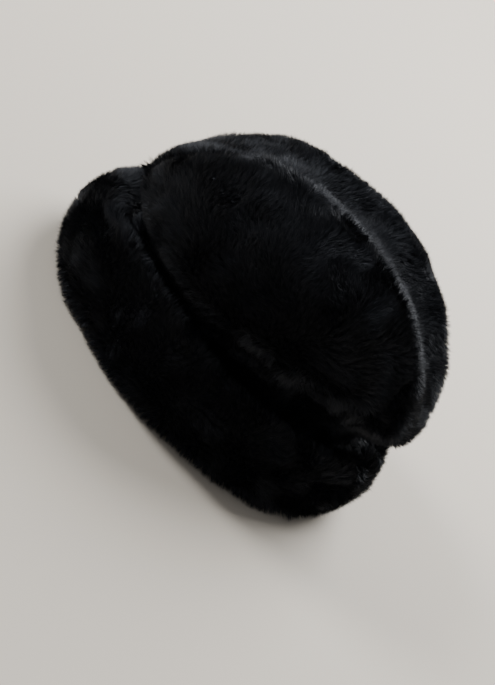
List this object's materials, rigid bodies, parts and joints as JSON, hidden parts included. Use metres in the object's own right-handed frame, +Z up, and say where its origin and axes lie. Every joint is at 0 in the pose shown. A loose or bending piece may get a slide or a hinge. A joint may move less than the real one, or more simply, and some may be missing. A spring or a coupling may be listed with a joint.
{
  "type": "fake fur cossack hat with a turned-up cuff",
  "caption": "Soft fake-fur hat: a wide turned-up cuff round an open head hollow and a puffy three-piece crown that hangs over the cuff at the side and back.",
  "frame": {"origin": "middle of the hat's outline seen from above, on the plane that its rim rests on", "axes": "+Z up out of the crown, -Y to the wearer's front, +X to the wearer's left"},
  "size_m": [0.2386, 0.3016, 0.1815],
  "materials": {
    "cuff_fur": "short dense plush pile, black, matte with a soft sheen, pointed locks along the rim",
    "crown_fur": "short dense plush pile, black, matte with a soft sheen",
    "backing_cloth": "plain black knitted backing inside the hat"
  },
  "bodies": {
    "root": {"cuff": "cuff_fur", "crown_side_left": "crown_fur", "crown_side_right": "crown_fur", "crown_centre": "crown_fur"}
  },
  "joints": []
}
